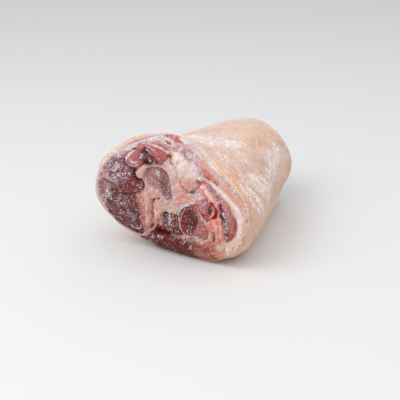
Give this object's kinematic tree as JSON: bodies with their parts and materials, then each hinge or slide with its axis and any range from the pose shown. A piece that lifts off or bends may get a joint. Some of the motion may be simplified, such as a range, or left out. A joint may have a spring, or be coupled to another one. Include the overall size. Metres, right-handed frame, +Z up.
{
  "type": "raw pork hock",
  "caption": "Raw pork hock in its rind, lying on its side: a wide cut end with lobed muscle, fat and bone, narrowing to a sawn shank end.",
  "frame": {"origin": "middle of the hock's footprint box, on the surface it rests on", "axes": "+Z up; +Y along the leg, from the wide cut towards the shank end; +X to the right when facing the wide cut"},
  "size_m": [0.142, 0.1885, 0.114],
  "materials": {
    "meat": "raw muscle, fat and pale rind under a dusting of frost",
    "bone": "sawn bone with dark frosted marrow"
  },
  "bodies": {
    "root": {"meat": "meat", "shin_bone": "bone", "calf_bone": "bone"}
  },
  "joints": []
}
